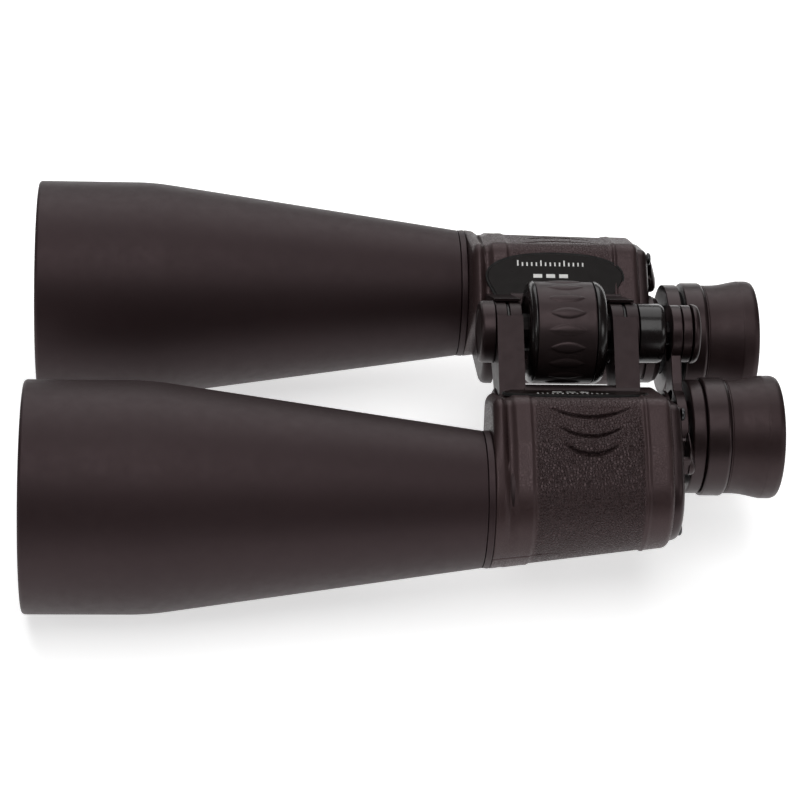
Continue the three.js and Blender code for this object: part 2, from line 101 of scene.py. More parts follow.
def node(material, kind, links=(), **values):
    """Adds a node; values set its sockets or settings, links joins its inputs to other nodes' outputs."""
    made = material.node_tree.nodes.new(kind)
    for key, value in values.items():
        label = key.replace("_", " ")
        if label in made.inputs:
            made.inputs[label].default_value = value
        else:
            setattr(made, key, value)
    for socket, source in dict(links).items():
        material.node_tree.links.new(source, made.inputs[socket])
    return made


def place(material):
    return node(material, "ShaderNodeTexCoord").outputs["Object"]


def feed(material, socket, source):
    shader = material.node_tree.nodes["Principled BSDF"]
    material.node_tree.links.new(source, shader.inputs[socket])


def spread(material, source, low, high, from_low=0.3, from_high=0.7):
    """Maps a noise's middle range onto low to high."""
    ranged = node(
        material, "ShaderNodeMapRange", {"Value": source}, From_Min=from_low, From_Max=from_high, To_Min=low,
        To_Max=high,
    )
    return ranged.outputs["Result"]


def cloud(material, size, detail, roughness):
    """Noise on the piece's own coordinates, with blotches about size metres across."""
    noise = node(
        material, "ShaderNodeTexNoise", {"Vector": place(material)},
        Scale=1 / size, Detail=detail, Roughness=roughness,
    )
    return noise.outputs["Fac"]


def colour_sockets(sockets):
    """A Mix node has sockets of the same name for numbers and colours. This picks out those for colours."""
    return [socket for socket in sockets if socket.type == "RGBA"]


def add_tone(material, colour, amount, size):
    """Slight cloudy variation of the colour, size metres across."""
    blend = spread(material, cloud(material, size, 3, 0.55), 0, 1)
    dark = [c * (1 - amount) for c in colour]
    light = [c * (1 + amount) for c in colour]
    mix = node(material, "ShaderNodeMix", {"Factor": blend}, data_type="RGBA")
    for socket, tone in zip(colour_sockets(mix.inputs), (dark, light)):
        socket.default_value = (*tone, 1)
    feed(material, "Base Color", colour_sockets(mix.outputs)[0])


def add_gloss_variation(material, low, high, size):
    feed(material, "Roughness", spread(material, cloud(material, size, 4, 0.6), low, high))


def add_speckle(material, size, depth):
    """A fine orange-peel bump."""
    speckle = cloud(material, size, 2, 0.5)
    bump = node(material, "ShaderNodeBump", {"Height": speckle}, Strength=1, Distance=depth)
    feed(material, "Normal", bump.outputs["Normal"])


WARM_SPECULAR = (1, 0.76, 0.79, 1)


def soft_touch_finish():
    colour = (0.0125, 0.0064, 0.0068)
    material = plain("soft_touch_paint", colour, 0.5, Specular_IOR_Level=0.4, Specular_Tint=(1, 0.76, 0.8, 1))
    add_tone(material, colour, 0.08, 0.03)
    add_gloss_variation(material, 0.46, 0.54, 0.004)
    add_speckle(material, 0.00028, 0.000012)
    return material


def leather_finish():
    """Moulded rubber. The attribute "grain" says where its surface is pebbled."""
    colour = (0.0185, 0.0098, 0.0095)
    material = plain("grained_rubber", colour, 0.5, Specular_IOR_Level=0.5, Specular_Tint=WARM_SPECULAR)
    add_tone(material, colour, 0.1, 0.012)
    where = node(material, "ShaderNodeAttribute", attribute_name="grain").outputs["Fac"]
    here = place(material)
    # warped cells make pebbles of uneven shape, a millimetre across
    warp = node(material, "ShaderNodeTexNoise", {"Vector": here}, Scale=650, Detail=1)
    shift = node(material, "ShaderNodeVectorMath", {0: warp.outputs["Color"]}, operation="SCALE")
    shift.inputs["Scale"].default_value = 0.9 * MM
    moved = node(material, "ShaderNodeVectorMath", {0: here, 1: shift.outputs["Vector"]}, operation="ADD")
    pebbles = node(
        material, "ShaderNodeTexVoronoi", {"Vector": moved.outputs["Vector"]},
        feature="DISTANCE_TO_EDGE", Scale=1000,
    )
    domes = spread(material, pebbles.outputs["Distance"], 0, 1, 0.02, 0.24)
    feed(material, "Roughness", spread(material, domes, 0.58, 0.34, 0, 1))
    # the pebbles stand on a fine matt skin
    fine = node(material, "ShaderNodeTexNoise", {"Vector": here}, Scale=3600, Detail=1)
    skin = node(material, "ShaderNodeBump", {"Height": fine.outputs["Fac"]}, Strength=1, Distance=0.012 * MM)
    height = node(material, "ShaderNodeMath", {0: domes, 1: where}, operation="MULTIPLY")
    leather = node(
        material, "ShaderNodeBump", {"Height": height.outputs["Value"], "Normal": skin.outputs["Normal"]},
        Strength=1, Distance=0.6 * MM,
    )
    feed(material, "Normal", leather.outputs["Normal"])
    return material


def textured(name, colour, roughness, speckle, depth, **sockets):
    """A moulded or painted finish: cloudy tone, uneven gloss and a speckle, its size and depth in metres."""
    material = plain(name, colour, roughness, **sockets)
    add_tone(material, colour, 0.08, 0.015)
    add_gloss_variation(material, roughness * 0.88, roughness * 1.12, 0.003)
    add_speckle(material, speckle, depth)
    return material


def turned_metal(name, colour, roughness, axis_x, axis_z, **sockets):
    """Machined metal: fine rings round an axis along Y."""
    material = plain(name, colour, roughness, Metallic=1.0, **sockets)
    add_tone(material, colour, 0.06, 0.01)
    add_gloss_variation(material, roughness * 0.8, roughness * 1.25, 0.0015)
    here = node(material, "ShaderNodeMapping", {"Vector": place(material)})
    here.inputs["Location"].default_value = (-axis_x * MM, 0, -axis_z * MM)
    waves = node(
        material, "ShaderNodeTexWave", {"Vector": here.outputs["Vector"]},
        wave_type="BANDS", bands_direction="Y", Scale=900, Distortion=0.4,
    )
    bump = node(material, "ShaderNodeBump", {"Height": waves.outputs["Fac"]}, Strength=0.4, Distance=0.00001)
    feed(material, "Normal", bump.outputs["Normal"])
    return material


def coated_glass_finish(name, colour, film, film_ior):
    """Clear glass under an anti-reflection film, whose thickness is in nanometres."""
    material = plain(
        name, colour, 0.015,
        IOR=1.52, Transmission_Weight=1.0, Thin_Film_Thickness=film, Thin_Film_IOR=film_ior,
    )
    noise = node(material, "ShaderNodeTexNoise", {"Vector": place(material)}, Scale=60, Detail=2)
    feed(material, "Roughness", spread(material, noise.outputs["Fac"], 0.01, 0.03))
    return material


SOFT_TOUCH = soft_touch_finish()
LEATHER = leather_finish()
EYECUP_RUBBER = textured(
    "eyecup_rubber", (0.0120, 0.0060, 0.0060), 0.46, 0.0004, 0.000014,
    Specular_IOR_Level=0.4, Specular_Tint=WARM_SPECULAR,
)
GRIP_RUBBER = textured(
    "grip_rubber", (0.0125, 0.0085, 0.0085), 0.4, 0.0003, 0.00001,
    Specular_IOR_Level=0.4, Specular_Tint=WARM_SPECULAR,
)
GLOSS_BLACK = textured(
    "gloss_black", (0.006, 0.0038, 0.0038), 0.25, 0.0012, 0.0000006,
    Specular_IOR_Level=0.36, Coat_Weight=0.12, Coat_Roughness=0.1,
)
PLATE_BLACK = textured("plate_black", (0.0045, 0.0022, 0.0018), 0.3, 0.0012, 0.000001, Specular_IOR_Level=0.1)
SATIN_BLACK = textured(
    "satin_black", (0.010, 0.0058, 0.0058), 0.36, 0.00035, 0.00001,
    Specular_IOR_Level=0.4, Specular_Tint=WARM_SPECULAR,
)
CAST_BLACK = textured(
    "cast_housing", (0.0085, 0.0052, 0.0052), 0.4, 0.00045, 0.000016,
    Specular_IOR_Level=0.28, Specular_Tint=WARM_SPECULAR,
)
MATT_BLACK = textured("matt_black", (0.006, 0.006, 0.006), 0.7, 0.0004, 0.00002)
# painted shade: a near-black finish for sheets and blocks that stand in for the shadow in gaps and notches
PAINTED_GAP_SHADOW = textured("gap_shadow", (0.003, 0.0025, 0.0025), 0.8, 0.0005, 0.00001)
SCREW_BLACK = textured("blackened_steel", (0.05, 0.05, 0.052), 0.3, 0.0002, 0.000006, Metallic=1.0)
ANODISED = turned_metal("anodised", (0.03, 0.029, 0.03), 0.35, *EYE)
STEEL = turned_metal("blackened_axle_steel", (0.012, 0.0105, 0.0105), 0.4, *HINGE)
BRASS = turned_metal("brass", (0.65, 0.46, 0.2), 0.3, *HINGE)
NYLON = textured("nylon", (0.01, 0.009, 0.009), 0.5, 0.0005, 0.00001)
LENS_COATED = coated_glass_finish("coated_glass", (0.96, 0.98, 1.0), 320.0, 1.38)
LENS_CLEAR = coated_glass_finish("prism_glass", (0.97, 0.99, 0.985), 110.0, 1.38)
PRINT_WHITE = textured("print_white", (0.8, 0.79, 0.77), 0.4, 0.0003, 0.000004)

FINISH_OF_SLOT = {
    "soft_touch_paint": SOFT_TOUCH,
    "grained_rubber": LEATHER,
    "eyecup_rubber": EYECUP_RUBBER,
    "grip_rubber": GRIP_RUBBER,
    "gloss_black": GLOSS_BLACK,
    "satin_black": SATIN_BLACK,
    "matt_black": MATT_BLACK,
    "cast_housing": CAST_BLACK,
    "prism_glass": LENS_CLEAR,
    "coated_glass": LENS_COATED,
    "steel": STEEL,
    "brass": BRASS,
    "nylon": NYLON,
    "anodised": ANODISED,
}


# ---- shapes ----
def clean(shape):
    bmesh.ops.remove_doubles(shape, verts=shape.verts, dist=SMALLEST)
    bmesh.ops.dissolve_degenerate(shape, edges=shape.edges, dist=SMALLEST)
    bmesh.ops.recalc_face_normals(shape, faces=shape.faces)
    return shape


def in_ring(points):
    """Each point with the next one, and the last with the first."""
    return zip(points, points[1:] + points[:1])


def chain(shape, points):
    """A closed line through the points."""
    corners = [shape.verts.new(p) for p in points]
    return [shape.edges.new(ends) for ends in in_ring(corners)]


def rounded(shape, geom, width, segments, affect="EDGES", **more):
    bmesh.ops.bevel(
        shape, geom=geom, offset=width, offset_type="OFFSET", segments=segments, profile=0.5, affect=affect,
        material=-1, **more,
    )


def pushed_out(points, push):
    """A solid: a flat outline of points pushed along a vector."""
    shape = bmesh.new()
    face = bmesh.ops.contextual_create(shape, geom=chain(shape, points))["faces"]
    pushed = bmesh.ops.extrude_face_region(shape, geom=face, use_keep_orig=True)
    moved = [v for v in pushed["geom"] if isinstance(v, bmesh.types.BMVert)]
    bmesh.ops.translate(shape, verts=moved, vec=push)
    bmesh.ops.recalc_face_normals(shape, faces=shape.faces)
    return shape


def spun(profile, axis, steps=96, segments=3):
    """Spins a profile of (radius, station) round an axis along Y. A third number rounds that corner."""
    shape = bmesh.new()
    points, soft_corners = [], {}
    for radius, station, *edge in profile:
        point = shape.verts.new((radius, RIM_Y - station, 0))
        points.append(point)
        if edge:
            soft_corners.setdefault(edge[0], []).append(point)
    ends = list(zip(points, points[1:]))
    if profile[0][0] > 0 or profile[-1][0] > 0:
        ends.append((points[-1], points[0]))
    for end in ends:
        shape.edges.new(end)
    for width, corners in soft_corners.items():
        rounded(shape, corners, width, segments, "VERTICES")
    bmesh.ops.spin(
        shape, geom=shape.verts[:] + shape.edges[:], cent=(0, 0, 0), axis=(0, 1, 0), dvec=(0, 0, 0),
        angle=2 * math.pi, steps=steps, use_merge=True, use_duplicate=False,
    )
    clean(shape)
    bmesh.ops.translate(shape, verts=shape.verts, vec=(axis[0], 0, axis[1]))
    return shape


def lofted(outlines):
    """A closed skin through outlines of (x, station, z), each with the same number of points."""
    shape = bmesh.new()
    loops = [chain(shape, [(x, RIM_Y - station, z) for x, station, z in outline]) for outline in outlines]
    for front, rear in zip(loops, loops[1:]):
        bmesh.ops.bridge_loops(shape, edges=front + rear)
    for end in (loops[0], loops[-1]):
        bmesh.ops.contextual_create(shape, geom=end)
    bmesh.ops.recalc_face_normals(shape, faces=shape.faces)
    return shape


def wrapped(circles, count, finer=None):
    """Points round the convex outline of circles (x, z, radius), twice as close where finer(x, z) is 2."""
    directions, reach = 720, 0.4  # the outline is first walked in steps no longer than the reach
    corners = []
    for i in range(directions):
        a = 2 * math.pi * i / directions
        x, z, r = max(circles, key=lambda c: c[0] * math.cos(a) + c[1] * math.sin(a) + c[2])
        corners.append(Vector((x + r * math.cos(a), z + r * math.sin(a))))
    dense = []
    for here, there in in_ring(corners):
        parts = max(1, math.ceil((there - here).length / reach))
        dense += [here.lerp(there, k / parts) for k in range(parts)]
    lengths = [(b - a).length * (finer(*((a + b) / 2)) if finer else 1) for a, b in in_ring(dense)]
    total, walked, points, wanted = sum(lengths), 0.0, [], 0.0
    for (a, b), length in zip(in_ring(dense), lengths):
        while len(points) < count and wanted <= walked + length + 1e-9:
            points.append(a.lerp(b, min(1, max(0, (wanted - walked) / length)) if length else 0))
            wanted = total * len(points) / count
        walked += length
    return points


def wrapped_at(station, circles, count):
    """The same outline as points of (x, station, z)."""
    return [(p.x, station, p.y) for p in wrapped(circles, count)]


def bevelled_prism(outline, front, rear, edge):
    """An outline of (x, z) points pushed from one station to another, with both rims rounded."""
    shape = pushed_out([(x, RIM_Y - front, z) for x, z in outline], (0, front - rear, 0))
    return round_rims(shape, edge)


def wrapped_prism(circles, count, front, rear, edge):
    return bevelled_prism([(p.x, p.y) for p in wrapped(circles, count)], front, rear, edge)


def round_rims(shape, width, segments=3, angle=60):
    """Rounds every edge sharper than the angle."""
    sharp = [e for e in shape.edges if len(e.link_faces) == 2 and e.calc_face_angle() > math.radians(angle)]
    rounded(shape, sharp, width, segments, clamp_overlap=True)
    return clean(shape)


def box_shape(size, place_at, edge=0.0):
    shape = bmesh.new()
    bmesh.ops.create_cube(shape, size=1)
    bmesh.ops.scale(shape, verts=shape.verts, vec=size)
    bmesh.ops.translate(shape, verts=shape.verts, vec=place_at)
    if edge:
        round_rims(shape, edge, 2)
    return shape


def mirrored(shells):
    """The left half's shells, from those of the right half."""
    for shape, _ in shells:
        bmesh.ops.scale(shape, verts=shape.verts, vec=(-1, 1, 1))
        bmesh.ops.reverse_faces(shape, faces=shape.faces)
    return shells


def all_of(material, *shapes):
    """Shells of one material."""
    return [(shape, material) for shape in shapes]


# ---- finished pieces ----
def finished(name, shells, body, stands_for, slot, smooth=42, marks=None):
    """Joins shells of (shape, material) into one piece that rides on a body and stands for CAD nodes."""
    mesh = bpy.data.meshes.new(name)
    whole = bmesh.new()
    materials = []
    for shape, material in shells:
        if material not in materials:
            materials.append(material)
        for face in shape.faces:
            face.material_index = materials.index(material)
            face.smooth = True
        part = bpy.data.meshes.new("part")
        shape.to_mesh(part)
        shape.free()
        whole.from_mesh(part)
        bpy.data.meshes.remove(part)
    if marks:
        layer = whole.verts.layers.float.new("grain")
        for v in whole.verts:
            v[layer] = marks(v.co)
    bmesh.ops.scale(whole, verts=whole.verts, vec=(MM, MM, MM))
    whole.to_mesh(mesh)
    whole.free()
    mesh.set_sharp_from_angle(angle=math.radians(smooth))
    for material in materials:
        mesh.materials.append(material)
    piece = bpy.data.objects.new(name, mesh)
    bpy.context.scene.collection.objects.link(piece)
    normals = piece.modifiers.new("weighted_normals", "WEIGHTED_NORMAL")
    normals.keep_sharp = True
    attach(piece, body)
    if stands_for:
        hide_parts(*stands_for)
    return piece


def pair(name, make, stands_for, slot, bodies=("right_half", "left_half"), **more):
    """The same piece on both halves. make() draws the shells of the right one."""
    for side, body in zip(("right", "left"), bodies):
        shells = make() if side == "right" else mirrored(make())
        finished(f"{side}_{name}", shells, body, [f"{side}_{stands_for}"], slot, **more)


# ---- objective end ----
BARREL_R, BARREL_REAR_R = 42.0, 24.9
CELL_R = 38.2  # the lens cell's seat in the barrel
THREAD_R, THREAD_DEPTH, THREAD_STEP = 38.9, 0.35, 0.4
THREAD_FRONT, THREAD_REAR = 9.4, 12.6


def barrel_tube():
    """A short cylinder and a long cone, hollow, with a thread for a cap behind the rim."""
    outside = [
        (39.2, 0.0, 0.25), (BARREL_R - 0.65, 0.0, 0.35), (BARREL_R, 0.7, 0.6), (BARREL_R, 44.5, 6.0),
        (BARREL_REAR_R, 164.4, 0.3), (22.8, 164.6), (22.8, 174.0),
    ]
    inside = [
        (20.8, 174.0), (20.8, 160.0), (40.2, 45.0), (40.2, 33.6), (35.4, 29.6), (35.4, 27.6), (CELL_R, 27.6),
        (CELL_R, 14.5), (THREAD_R, 13.6),
    ]
    turns = round((THREAD_REAR - THREAD_FRONT) / THREAD_STEP)
    thread = [(THREAD_R - THREAD_DEPTH * (k % 2), THREAD_REAR - THREAD_STEP * k) for k in range(turns + 1)]
    return spun(outside + inside + thread + [(39.2, 8.6)], OBJECTIVE, steps=160, segments=5)


def light_baffle(station, outer, inner):
    front, rear = station, station + 1.6
    return spun([(outer, front), (inner, front + 0.6), (inner, rear - 0.6), (outer, rear)], OBJECTIVE, 64)


def barrel():
    baffles = [light_baffle(60, 37.5, 33), light_baffle(88, 33.4, 28.5), light_baffle(118, 29, 24)]
    return all_of(SOFT_TOUCH, barrel_tube()) + all_of(MATT_BLACK, *baffles)


pair("barrel", barrel, "objective_tube", "soft_touch_paint")


def lens_retainer():
    """A threaded ring that holds the lens. A spanner turns it by two notches, which are near-black blocks of
    painted shade.
    """
    front, rear, bore, rim = 16.0, 19.4, 35.2, CELL_R - 0.3
    ring = spun(
        [(bore, front + 1.2, 0.15), (36.4, front, 0.15), (rim, front, 0.2), (rim, rear), (bore, rear, 0.1)],
        OBJECTIVE, 128,
    )
    # painted shade: near-black blocks on the ring's front stand in for the shadow inside each notch
    notches = [
        box_shape((0.6, 1.0, 2.6), (OBJECTIVE[0] + offset, RIM_Y - 16.35, OBJECTIVE[1]), 0.08)
        for offset in (-36.9, 36.9)
    ]
    return all_of(MATT_BLACK, ring) + all_of(PAINTED_GAP_SHADOW, *notches)


pair("lens_retainer", lens_retainer, "objective_ring", "matt_black")


def bulge(radius, station, height, count=12):
    """Points of a lens face from the axis to its edge, bulging forward by the height."""
    return [(radius * k / count, station - height * (1 - (k / count) ** 2)) for k in range(count + 1)]


def front_lens():
    front, rear = bulge(37.6, 20.4, 3.6), bulge(37.6, 21.6, -2.6)
    return all_of(LENS_COATED, spun(front + rear[::-1], OBJECTIVE, 96))


pair("front_lens", front_lens, "objective_crown_lens", "coated_glass")


def barrel_collar():
    """The ring between barrel and housing, with a narrow neck that the rubber laps over."""
    bore, neck = 23, 24.3
    ring = spun(
        [
            (bore, 164.7), (24.85, 164.7), (25.0, 166.0, 0.6), (25.05, 166.9, 0.2), (neck, 167.3),
            (neck, 170.6), (bore, 170.6),
        ],
        OBJECTIVE, 128,
    )
    return all_of(SOFT_TOUCH, ring)


pair("barrel_collar", barrel_collar, "tube_collar", "soft_touch_paint")

# ---- prism housing ----
BODY_FRONT, BODY_REAR = 172.0, 232.0
LUG_ROOT = (30.0, OBJECTIVE[1] + 16.5, 6.5)
CREST = (47.5, OBJECTIVE[1] + 27.5, 7.0)
FRONT_ARM = (172.0, 181.7)
REAR_ARM = (215.2, 225.4)
EYE_GROWTH = 18  # length over which the eyepiece side swells to its full width


def smooth_step(value, start, end):
    """0 up to the start, 1 from the end on, and a soft rise between them."""
    t = min(1.0, max(0.0, (value - start) / (end - start)))
    return t * t * (3 - 2 * t)


def hump(value, centre, half_width):
    """1 at the centre, falling softly to 0 at either side."""
    u = (value - centre) / half_width
    return (1 - u * u) ** 2 if abs(u) < 1 else 0.0


def lobes(station, inset=0.0):
    """The circles the housing is wrapped round: barrel, thumb rest, crest, foot of the slope, eyepiece."""
    back = (station - BODY_FRONT) / (BODY_REAR - BODY_FRONT)
    grown = min(1.0, max(0.0, (station - BODY_FRONT) / EYE_GROWTH))
    return [
        (OBJECTIVE[0], OBJECTIVE[1] - 0.3 + 3.9 * back, 24.4 - 4.7 * back - inset),
        (56.0, OBJECTIVE[1] + 14, 16.3 - 1.2 * back - inset),
        (CREST[0], CREST[1], CREST[2] - inset),
        (LUG_ROOT[0], LUG_ROOT[1], LUG_ROOT[2] - inset),
        (EYE[0], EYE[1], 10 + 8.2 * grown * (2 - grown) - inset),
    ]


GROOVES = ((53.3, 30.0), (60.2, 23.5), (66.2, 20.5))  # x of the lowest point and length of each thumb groove
GROOVE_MIDDLE = 202.0
GROOVE_SAG, GROOVE_DEPTH = 3.3, 1.55  # how far a crescent's tips rise above its middle, and its depth there
STEEP_SIDE, GENTLE_SIDE = 0.6, 1.5  # widths of a groove's two sides against its half width


def groove_depth(x, z, station):
    """How deep the crescent thumb grooves are cut at a point of the outer slope."""
    if z < OBJECTIVE[1] + 17 or x < 46:
        return 0.0
    deepest = 0.0
    for lowest, length in GROOVES:
        u = (station - GROOVE_MIDDLE) / (length / 2)
        if abs(u) >= 1:
            continue
        across = (x - (lowest - GROOVE_SAG * u * u)) / 0.88
        half = 0.22 + 0.62 * (1 - u * u)
        side = across / (half * (STEEP_SIDE if across < 0 else GENTLE_SIDE))
        if abs(side) < 1:
            deepest = max(deepest, GROOVE_DEPTH * math.sqrt(1 - u * u) * (1 - side * side) ** 0.8)
    return deepest


SKIN_FRONT = 167.2  # the rubber starts at the seam with the barrel


def skin_inset(station):
    """The band between the grain panel's rims lies a little lower than the plain bands round it."""
    panel = smooth_step(station, 180.4, 181.8) * (1 - smooth_step(station, 221.3, 222.0))
    return 0.34 * panel - 0.3 * hump(station, 222.5, 0.9) - 0.12 * hump(station, 180.2, 0.9)


def skin_lobes(station, inset):
    """In front of the housing the rubber is a thick rim round the barrel, with an ear up to the crest."""
    if station >= BODY_FRONT:
        return lobes(station, inset)
    rise = min(1.0, (station - SKIN_FRONT) / 3.2)
    ear = inset + 4.2 * (1 - math.sqrt(max(0.0, 1 - (1 - rise) ** 2)))
    return [
        (*OBJECTIVE, 25.0 - 0.5 * smooth_step(station, SKIN_FRONT, BODY_FRONT) - inset),
        (CREST[0], CREST[1], CREST[2] - 0.7 - ear), (LUG_ROOT[0], LUG_ROOT[1], LUG_ROOT[2] - 1 - ear),
    ]


def crease_depth(z, station):
    """The valley behind the ear. It fades down the outer side."""
    return 1.25 * hump(station, 173.0, 2.8) * smooth_step(z - OBJECTIVE[1], -6, 24)


def seam_depth(x, z, station):
    """The mould's parting line, low on the outer side."""
    if x < OBJECTIVE[0] + 12 or station > 194:
        return 0.0
    line = OBJECTIVE[1] - 7.8 + 0.06 * (station - SKIN_FRONT)
    return 0.3 * hump(z, line, 0.5) * (1 - smooth_step(station, 184, 194))


def closer_on_thumb_rest(x, z):
    """How much closer the skin's points are: most on the grooves, a little less along the parting line."""
    if x > 49 and z > OBJECTIVE[1] + 19:
        return 3.0
    return 2.5 if x > OBJECTIVE[0] + 12 and abs(z - OBJECTIVE[1] + 7) < 3 else 1.0


def armour_skin():
    count = 330
    front_edge, rear_edge = 0.5, 2.4  # how far the two edges are rounded
    front, rear = SKIN_FRONT, BODY_REAR
    turns = [math.radians(a) for a in range(0, 91, 18)]
    rings = [
        (front + front_edge * (1 - math.sin(a)), front_edge * (1 - math.cos(a))) for a in reversed(turns)
    ]
    step = front + front_edge + 0.5
    while step < rear - rear_edge - 0.4:
        rings.append((step, 0.0))
        fine = step < 176 or 179.8 < step < 182.2 or 220.8 < step < 223.8
        step += 0.4 if fine else 0.8
    rings += [(rear - rear_edge * (1 - math.sin(a)), rear_edge * (1 - math.cos(a))) for a in turns]
    outlines = []
    for station, shrink in rings:
        points = wrapped(skin_lobes(station, shrink + skin_inset(station)), count, closer_on_thumb_rest)
        outline = []
        for before, point, after in zip(points[-1:] + points[:-1], points, points[1:] + points[:1]):
            along = (after - before).normalized()
            inwards = Vector((-along.y, along.x))
            x, z = point
            cut = groove_depth(x, z, station) + crease_depth(z, station) + seam_depth(x, z, station)
            outline.append((x + inwards.x * cut, station, z + inwards.y * cut))
        outlines.append(outline)
    return all_of(LEATHER, lofted(outlines))


def grain_mark(co):
    """1 where the rubber is pebbled, fading towards the crest and the underside."""
    station = RIM_Y - co.y
    x, height = abs(co.x), co.z - OBJECTIVE[1]
    along = smooth_step(station, 181.4, 183.6) * (1 - smooth_step(station, 220.0, 221.3))
    around = (1 - 0.75 * smooth_step(height, 26, 34)) * smooth_step(height, -20, -9) * smooth_step(x, 44, 52)
    return along * (0.15 + 0.85 * around)


pair("armour_skin", armour_skin, "housing_armour", "grained_rubber", smooth=60, marks=grain_mark)


def arc(centre, radius, start, end, count):
    """Points on an arc, in degrees."""
    turns = [math.radians(start + (end - start) * k / count) for k in range(count + 1)]
    return [(centre[0] + radius * math.cos(a), centre[1] + radius * math.sin(a)) for a in turns]


KNUCKLE_R, AXLE_BORE = 11.2, 7.3
TOP_NORMAL = 66.0  # direction in which the upper face of the right arm looks
LOWER_NORMAL = -104.0  # and its lower face
ROOT_END = 224.3  # the eyepiece tubes slide forward as far as 224.5


def arm_web():
    """The outline of an arm: it leaves the housing and ends in a saddle round the knuckles."""
    saddle = arc(HINGE, KNUCKLE_R + 0.5, LOWER_NORMAL, TOP_NORMAL, 24)
    lean = math.radians(TOP_NORMAL)
    reach = KNUCKLE_R + 1.5
    tip = (HINGE[0] + reach * math.cos(lean), HINGE[1] + reach * math.sin(lean))
    root = arc(LUG_ROOT[:2], LUG_ROOT[2] - 0.4, TOP_NORMAL, LOWER_NORMAL, 16)
    return saddle + [tip] + root


def knuckle(front, rear):
    face = [(AXLE_BORE, front, 0.2), (KNUCKLE_R, front, 0.35)]
    back = [(KNUCKLE_R, rear, 0.35), (AXLE_BORE, rear, 0.2)]
    return spun(face + back, HINGE, 96)


def front_plate():
    """The cast front wall, wrapped round the barrel's end and the eyepiece side. Its front rim is rounded."""
    rounding = ((171.0, 2.2), (171.25, 1.3), (171.8, 0.55), (172.6, 0.12), (173.4, 0.0), (175.6, 0.0))
    outlines = []
    for station, less in rounding:
        outlines.append(wrapped_at(station, [(*OBJECTIVE, 23.3 - less), (*EYE, 17.8 - less)], 180))
    return lofted(outlines)


def rail():
    """A rounded rail along the foot of the plate slope. It ties the two arms together below the wheel."""
    upper = (LUG_ROOT[0] - 1.5, LUG_ROOT[1] + 3.0, 5.5)
    lower = (LUG_ROOT[0] + 1, LUG_ROOT[1], 5.0)
    return wrapped_prism([upper, lower], 72, FRONT_ARM[1] - 0.5, ROOT_END, 0.4)


def strut(front, rear):
    """The thick part of an arm, from the housing to its own knuckle."""
    root = (LUG_ROOT[0] - 6, LUG_ROOT[1] + 2, 6.0)
    return wrapped_prism([root, (HINGE[0] + 10.0, HINGE[1] - 2.5, 5.4)], 64, front + 0.1, rear, 0.3)


def casting(knuckles):
    shapes = [front_plate(), rail()]
    for (arm_front, arm_rear), (front, rear) in zip((FRONT_ARM, REAR_ARM), knuckles):
        shapes.append(bevelled_prism(arm_web(), arm_front, min(arm_rear, ROOT_END), 0.45))
        shapes.append(knuckle(front, rear))
        shapes.append(strut(front, min(rear - 0.1, ROOT_END)))
    return all_of(CAST_BLACK, *shapes)


# front and rear station of each half's knuckles: the right ones sit between the left ones
RIGHT_KNUCKLES = ((177.2, FRONT_ARM[1]), (REAR_ARM[0], 219.8))
LEFT_KNUCKLES = ((FRONT_ARM[0], 176.2), (220.8, REAR_ARM[1]))
finished("right_casting", casting(RIGHT_KNUCKLES), "right_half", ["right_prism_housing"], "cast_housing")
finished(
    "left_casting", mirrored(casting(LEFT_KNUCKLES)), "left_half", ["left_prism_housing"], "cast_housing"
)

# ---- name plate ----
# the slope it lies on: up the slope, out of it, and a point at its foot
PLATE_ALONG = Vector((17.7, 0, 11.7)).normalized()
PLATE_OUT = Vector((-PLATE_ALONG.z, 0, PLATE_ALONG.x))
PLATE_FOOT = Vector((27.2, 0, OBJECTIVE[1] + 22.4))


def curve_points(start, lead, follow, end, count=14):
    """Points along a Bezier curve, without its first point."""
    found = []
    for k in range(1, count + 1):
        t = k / count
        found.append(tuple(
            a * (1 - t) ** 3 + 3 * b * t * (1 - t) ** 2 + 3 * c * t * t * (1 - t) + d * t ** 3
            for a, b, c, d in zip(start, lead, follow, end)
        ))
    return found


def plate_outline(margin):
    """The plate's outline as (station, up the slope): a straight foot, rounded ends and an arched top."""
    front, rear = BODY_FRONT + 0.8 - margin, 225.2 + margin
    foot, shoulder, top = 1.2 - margin, 9.5, 19.5 + margin
    crown = (198.6, top)
    rear_foot, front_foot = (rear - 4.5, foot), (front + 3.5, foot)
    rear_corner, front_corner = (rear, shoulder + 1), (front, shoulder + 1)
    return (
        curve_points(front_corner, (front, shoulder - 2.5), (front + 3.2, foot + 3.5), front_foot)
        + [(front + 14, foot), (rear - 15, foot), rear_foot]
        + curve_points(rear_foot, (rear - 3.6, foot + 3.5), (rear, shoulder - 2.5), rear_corner)
        + curve_points(rear_corner, (rear, top - 4), (rear - 8, top), crown)
        + curve_points(crown, (front + 9, top), (front, top - 4), front_corner)
    )


def on_plate(shape):
    """Lays a shape drawn as (station, up the slope, out of the plate) on the plate slope."""
    turn = Matrix((Vector((0, -1, 0)), PLATE_ALONG, PLATE_OUT)).transposed().to_4x4()
    turn.translation = PLATE_FOOT + Vector((0, RIM_Y, 0))
    bmesh.ops.transform(shape, matrix=turn, verts=shape.verts)
    bmesh.ops.recalc_face_normals(shape, faces=shape.faces)
    return shape


def slab(outline, bottom, top, edge=0):
    """A flat piece on the plate slope, with its upper rim rounded."""
    shape = pushed_out([(a, b, bottom) for a, b in outline], (0, 0, top - bottom))
    rims = [e for e in shape.edges if all(abs(v.co.z - top) < SMALLEST for v in e.verts)]
    if edge:
        rounded(shape, rims, edge, 3, clamp_overlap=True)
    return on_plate(shape)


def tick(station, up, length, height, top):
    front, rear = station - length / 2, station + length / 2
    low, high = up - height / 2, up + height / 2
    return slab([(front, low), (rear, low), (rear, high), (front, high)], top - 0.1, top)


